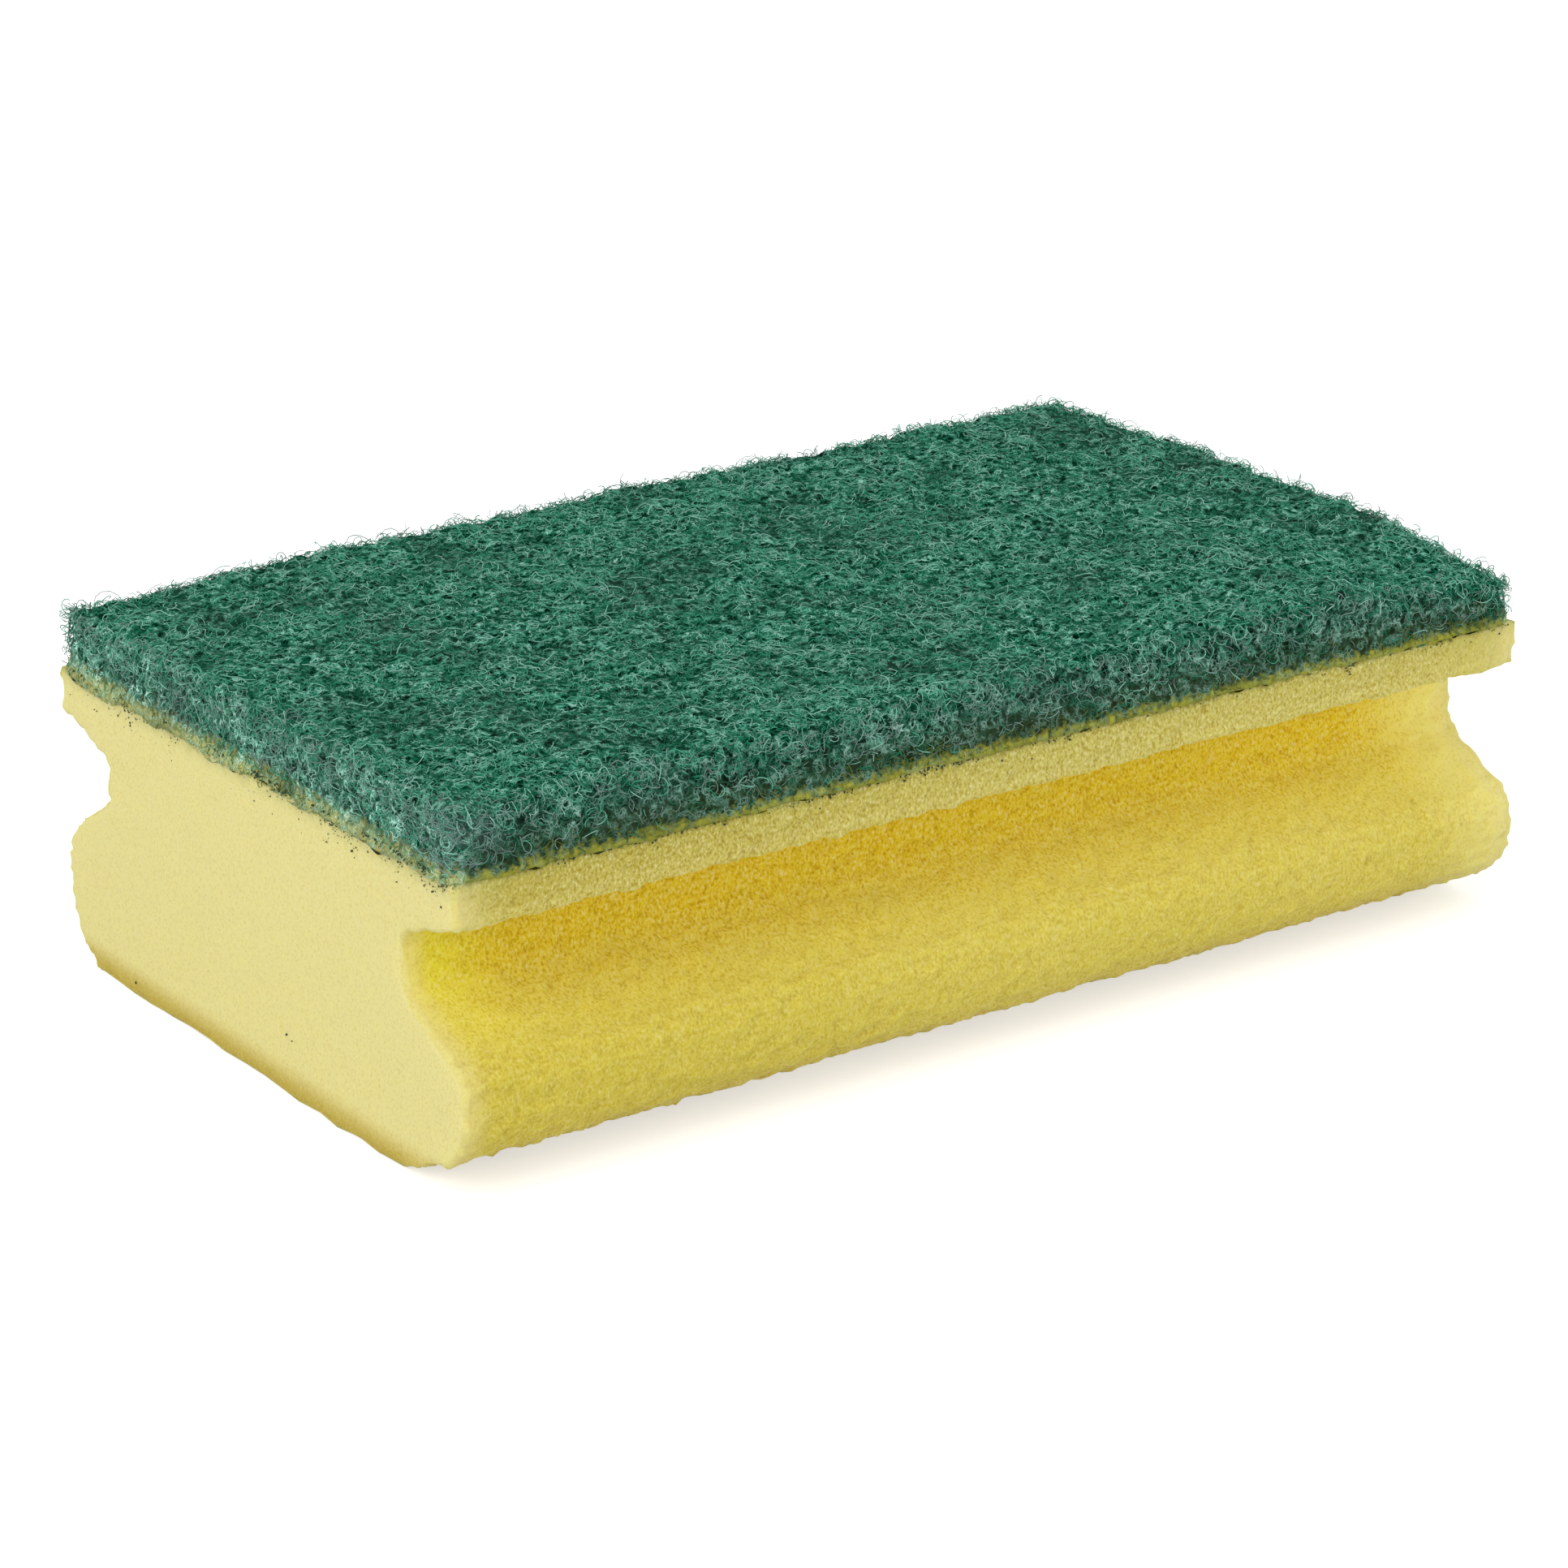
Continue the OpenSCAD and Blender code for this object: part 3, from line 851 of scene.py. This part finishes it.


# Resin-coated nylon: a thin hard coat on a round fibre, so it has a soft sheen. The
# lots' tones are partly the fibres' own greens, partly painted shade on the dark ones
# deep in the web and painted light on the pale ones on its face.
def fibre_material(name, tone):
    material = bpy.data.materials.new(name)
    material.use_nodes = True
    shader = material.node_tree.nodes["Principled BSDF"]
    shader.inputs["Base Color"].default_value = linear(tone)
    shader.inputs["Roughness"].default_value = 0.6
    shader.inputs["IOR"].default_value = 1.5
    shader.inputs["Specular IOR Level"].default_value = 0.08
    return material


# What each lot holds: its finish, its tone, and how many fibres of each kind.
fibre_lots = {
    # The green lot keeps to the hollows as painted shade, and the light and pale lots keep to the tufts
    # as painted light.
    "fibres_green": ("resin_coat_green", "#146A4B",
                     face_fibres(1300, -0.3 * MM, 0.1 * MM, -1.0), edge_fibres(500, 50),
                     face_loops(200), frayed_loops(50, 40)),
    "fibres_mid": ("resin_coat_mid_green", "#2F906F",
                   face_fibres(1850, -0.3 * MM, 0.15 * MM, 0.5), edge_fibres(300, 200),
                   face_loops(350, 0.5), face_arcs(700, 0.5), edge_loops(150, 150, 0.1),
                   frayed_loops(150, 80)),
    "fibres_light": ("resin_coat_light_green", "#5BB596",
                     face_fibres(1500, -0.2 * MM, 0.2 * MM, 1.0, 0.4 * MM), edge_fibres(80, 250),
                     face_loops(350, 1.0), face_arcs(1150, 1.0), edge_loops(120, 200, 0.1),
                     frayed_loops(170, 110)),
    "fibres_pale": ("resin_coat_thin", "#9AD5C1",
                    face_fibres(900, -0.1 * MM, 0.25 * MM, 1.3, 0.3 * MM), edge_fibres(40, 200),
                    face_loops(250, 1.0), face_arcs(1200, 1.0), edge_loops(120, 300, 0.2),
                    frayed_loops(170, 110)),
    "fibres_grey": ("nylon_with_grit", "#7F9C93",
                    edge_fibres(400, 300, lowest=0.2, out=0.3 * MM), edge_loops(300, 250, 0.25),
                    near_corner(150), frayed_loops(200, 120), frayed_loops(40, 16, size=1.9)),
    "fibres_bond": ("resin_coat_at_bond", "#6A7B3C",
                    edge_fibres(150, 40, lowest=0.06, highest=0.3, out=0.1 * MM),
                    bond_ends(700, 450)),
}
section = fibre_section()
for name, (finish, tone, *kinds) in fibre_lots.items():
    data = fibre_mesh(name, kinds, section)
    finished_piece(name, data, fibre_material(finish, tone))
bpy.data.objects.remove(section)

# -------------------------------------------------------------- abrasive grains
# Cutting the laminate shakes resin-bound grit out of the web's edge. It sticks in
# the open cells of the foam, thickly at the bond line and thinly below it.
def grain_mesh(places, sizes):
    """One sharp grain at each place, turned at random."""
    grains = bmesh.new()
    for place, size in zip(places, sizes):
        made = bmesh.ops.create_cube(grains, size=2 * size)
        bmesh.ops.scale(grains, verts=made["verts"], vec=rng.uniform(0.4, 1.2, 3))
        turn = Matrix.Rotation(rng.uniform(0, math.pi), 3, Vector(rng.normal(size=3)))
        bmesh.ops.rotate(grains, verts=made["verts"], matrix=turn)
        bmesh.ops.translate(grains, verts=made["verts"], vec=place)
    return grains


def end_grains(count, side):
    """Grains on a saw-cut end, thickest near the bond and in clusters along it."""
    y = rng.uniform(-half_rim + MM, half_rim - 2 * MM, 3 * count)
    at_side = np.full(y.shape, side * half_length)
    thick = np.exp(2.5 * patches(y, at_side, 8 * MM, 6.0) + 2.5 * patches(y, at_side, 1.8 * MM, 9.0))
    y = y[rng.choice(len(y), count, replace=False, p=thick / thick.sum())]
    fall = (np.minimum(rng.exponential(0.9, count), 3.6) - 0.6) * MM
    return [Vector((side * half_length, a, foam_high.z - b)) for a, b in zip(y, fall)]


def rim_grains(count, side):
    """Grains on the rim's outer face, close under the bond."""
    x = rng.uniform(-half_length + MM, half_length - MM, 3 * count)
    thick = np.exp(3 * patches(x, np.full(x.shape, side * half_rim), 8 * MM, 6.0))
    x = x[rng.choice(len(x), count, replace=False, p=thick / thick.sum())]
    fall = np.minimum(rng.exponential(0.3, count), 2) * MM
    return [Vector((a, side * half_rim, foam_high.z - b)) for a, b in zip(x, fall)]


grain_places = end_grains(1000, -1) + end_grains(700, 1) + rim_grains(450, -1) + rim_grains(400, 1)
# A few lie by themselves on the left end: how far across it and how high, in millimetres.
stray_grains = ((17.2, 33.2), (15.2, 33.3), (30.2, 35.0), (-6.4, 33.7), (-12.9, 33.4),
                (-7.1, 7.4), (-8.3, 7.0), (29.8, 1.5))
grain_sizes = rng.uniform(0.04, 0.12, len(grain_places)) * MM
grain_places += [Vector((-half_length, y * MM, z * MM)) for y, z in stray_grains]
grain_sizes = np.append(grain_sizes, rng.uniform(0.08, 0.15, len(stray_grains)) * MM)


# Aluminium oxide grit in green resin: dull, and nearly black on the pale foam.
def grain_material():
    material = bpy.data.materials.new("resin_grit_dark")
    material.use_nodes = True
    shader = material.node_tree.nodes["Principled BSDF"]
    shader.inputs["Base Color"].default_value = linear("#31462A")
    shader.inputs["Roughness"].default_value = 0.8
    return material


finished_piece("loose_grains", grain_mesh(grain_places, grain_sizes), grain_material())

# --------------------------------------------------------------------- studio
# A wide white table in a white room that shines evenly from all round, and two large
# soft lamps. The key, from the left, makes the saw-cut end the brightest face. The fill
# is low in front.
def seen_as_white(tree):
    """1 for the rays that show a thing to the eye: straight, mirrored or through glass."""
    path = add_node(tree, "ShaderNodeLightPath").outputs
    seen = path["Is Camera Ray"]
    for ray in ("Is Glossy Ray", "Is Transmission Ray"):
        seen = add_node(tree, "ShaderNodeMath", {0: seen, 1: path[ray]},
                        operation="MAXIMUM").outputs[0]
    return seen


def white_ground():
    """A white that takes the shadow, and is lifted to pure white where it is seen."""
    material = bpy.data.materials.new("studio_white")
    material.use_nodes = True
    tree = material.node_tree
    tree.nodes.remove(tree.nodes["Principled BSDF"])
    lift = add_node(tree, "ShaderNodeMath", {0: seen_as_white(tree), 1: 0.55},
                    operation="MULTIPLY").outputs[0]
    matt = add_node(tree, "ShaderNodeBsdfDiffuse", {"Color": (0.8, 0.8, 0.8, 1)}).outputs[0]
    glow = add_node(tree, "ShaderNodeEmission", {"Color": (1, 1, 1, 1), "Strength": lift}).outputs[0]
    total = add_node(tree, "ShaderNodeAddShader", {0: matt, 1: glow}).outputs[0]
    tree.links.new(total, tree.nodes["Material Output"].inputs["Surface"])
    return material


ground = bmesh.new()
bmesh.ops.create_grid(ground, x_segments=1, y_segments=1, size=2.0)
ground_data = bpy.data.meshes.new("studio_floor")
ground.to_mesh(ground_data)
ground.free()
ground_data.materials.append(white_ground())
floor = bpy.data.objects.new("studio_floor", ground_data)
bpy.context.scene.collection.objects.link(floor)

# The room lights the sponge a little less than it is seen to shine.
world = bpy.data.worlds.new("studio_room")
world.use_nodes = True
room = world.node_tree
strength = add_node(room, "ShaderNodeMapRange",
                    {"Value": seen_as_white(room), "To Min": 0.68, "To Max": 1.0})
room.nodes["Background"].inputs["Color"].default_value = (1, 1, 1, 1)
room.links.new(strength.outputs["Result"], room.nodes["Background"].inputs["Strength"])
bpy.context.scene.world = world

middle = Vector((0, 0, foam_high.z / 2))


def soft_lamp(name, azimuth, elevation, distance, size, watts):
    """A square area lamp, aimed at the sponge's middle."""
    light = bpy.data.lights.new(name, "AREA")
    light.energy = watts
    light.size = size
    lamp = bpy.data.objects.new(name, light)
    turn, tilt = math.radians(azimuth), math.radians(elevation)
    away = Vector((math.cos(turn) * math.cos(tilt), math.sin(turn) * math.cos(tilt), math.sin(tilt)))
    lamp.location = middle + away * distance
    lamp.rotation_euler = away.to_track_quat("Z", "Y").to_euler()
    bpy.context.scene.collection.objects.link(lamp)


soft_lamp("key_lamp", azimuth=200, elevation=40, distance=1.2, size=0.9, watts=4.5)
soft_lamp("fill_lamp", azimuth=-75, elevation=10, distance=1.2, size=0.9, watts=3.5)

# The camera looks down at the left end and the front side with a long lens.
camera_data = bpy.data.cameras.new("camera")
camera = bpy.data.objects.new("camera", camera_data)
camera.matrix_world = (Matrix.Translation((-0.3160, -0.4561, 0.2207))
                       @ Matrix.Rotation(math.radians(-34.5703), 4, "Z")
                       @ Matrix.Rotation(math.radians(90 - 19.9655), 4, "X")
                       @ Matrix.Rotation(math.radians(-0.6743), 4, "Z"))
camera_data.lens = 111.9215
camera_data.sensor_width = 36
camera_data.clip_start = 0.01
bpy.context.scene.collection.objects.link(camera)
bpy.context.scene.camera = camera
bpy.context.scene.view_settings.view_transform = "Standard"
